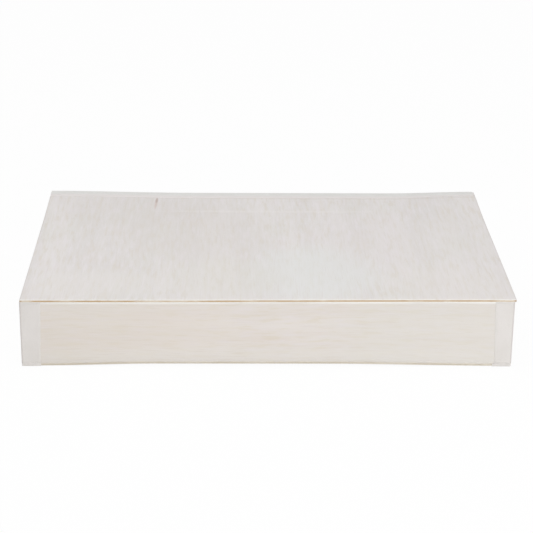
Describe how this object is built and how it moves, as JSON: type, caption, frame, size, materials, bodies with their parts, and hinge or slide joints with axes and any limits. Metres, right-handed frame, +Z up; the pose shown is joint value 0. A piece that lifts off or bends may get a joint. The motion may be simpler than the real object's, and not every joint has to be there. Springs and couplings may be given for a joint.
{
  "type": "collapsible box",
  "caption": "Shallow rectangular box of thin pale veneered boards hinged with cloth strips; the lid opens at the rear and the frame of walls folds flat.",
  "frame": {"origin": "on the table, under the middle of the closed box", "axes": "+X to the right along the box's length, +Y from the front to the hinge at the rear, +Z up"},
  "size_m": [0.34, 0.225, 0.05],
  "materials": {
    "pale_veneer": "matte bleached veneer",
    "raw_core": "raw sanded edge",
    "cloth": "matte woven cloth"
  },
  "bodies": {
    "base": {"base_core": "raw_core", "base_top_veneer": "pale_veneer", "base_under_veneer": "pale_veneer", "base_hinge_cloth": "cloth", "front_left_base_patch": "cloth", "front_right_base_patch": "cloth"},
    "rear_wall": {"rear_wall_core": "raw_core", "rear_wall_outer_veneer": "pale_veneer", "rear_wall_inner_veneer": "pale_veneer", "rear_left_corner_cloth": "cloth", "rear_right_corner_cloth": "cloth", "rear_left_inner_cloth": "cloth", "lid_hinge_cloth": "cloth"},
    "lid": {"lid_core": "raw_core", "lid_top_veneer": "pale_veneer", "lid_under_veneer": "pale_veneer"},
    "left_wall": {"left_wall_core": "raw_core", "left_wall_outer_veneer": "pale_veneer", "left_wall_inner_veneer": "pale_veneer"},
    "front_wall": {"front_wall_core": "raw_core", "front_wall_outer_veneer": "pale_veneer", "front_wall_inner_veneer": "pale_veneer", "front_left_corner_cloth": "cloth", "front_right_corner_cloth": "cloth", "front_right_inner_cloth": "cloth"},
    "right_wall": {"right_wall_core": "raw_core", "right_wall_outer_veneer": "pale_veneer", "right_wall_inner_veneer": "pale_veneer"}
  },
  "joints": [
    {"name": "spine_hinge", "type": "hinge", "parent": "base", "child": "rear_wall", "pos_m": [0, 0.1125, 0.0024], "axis": [-1, 0, 0], "range_deg": [0, 90], "deforming": ["base_hinge_cloth"]},
    {"name": "lid_hinge", "type": "hinge", "parent": "rear_wall", "child": "lid", "pos_m": [0, 0.1125, 0.0476], "axis": [1, 0, 0], "range_deg": [-190, 0], "deforming": ["lid_hinge_cloth"]},
    {"name": "frame_fold", "type": "hinge", "parent": "rear_wall", "child": "left_wall", "pos_m": [-0.16705, 0.10985, 0.025], "axis": [0, 0, 1], "range_deg": [0, 90], "deforming": ["rear_left_corner_cloth", "rear_left_inner_cloth", "rear_right_corner_cloth"]},
    {"name": "front_left_fold", "type": "hinge", "parent": "left_wall", "child": "front_wall", "pos_m": [-0.1694, -0.1099, 0.025], "axis": [0, 0, 1], "range_deg": [-90, 0], "deforming": ["front_left_corner_cloth"]},
    {"name": "front_right_fold", "type": "hinge", "parent": "front_wall", "child": "right_wall", "pos_m": [0.16705, -0.10955, 0.025], "axis": [0, 0, 1], "range_deg": [0, 90], "deforming": ["front_right_corner_cloth", "front_right_inner_cloth"]}
  ],
  "couplings": [
    {"joint": "front_left_fold", "follows": "frame_fold", "ratio": -1},
    {"joint": "front_right_fold", "follows": "frame_fold", "ratio": 1}
  ]
}
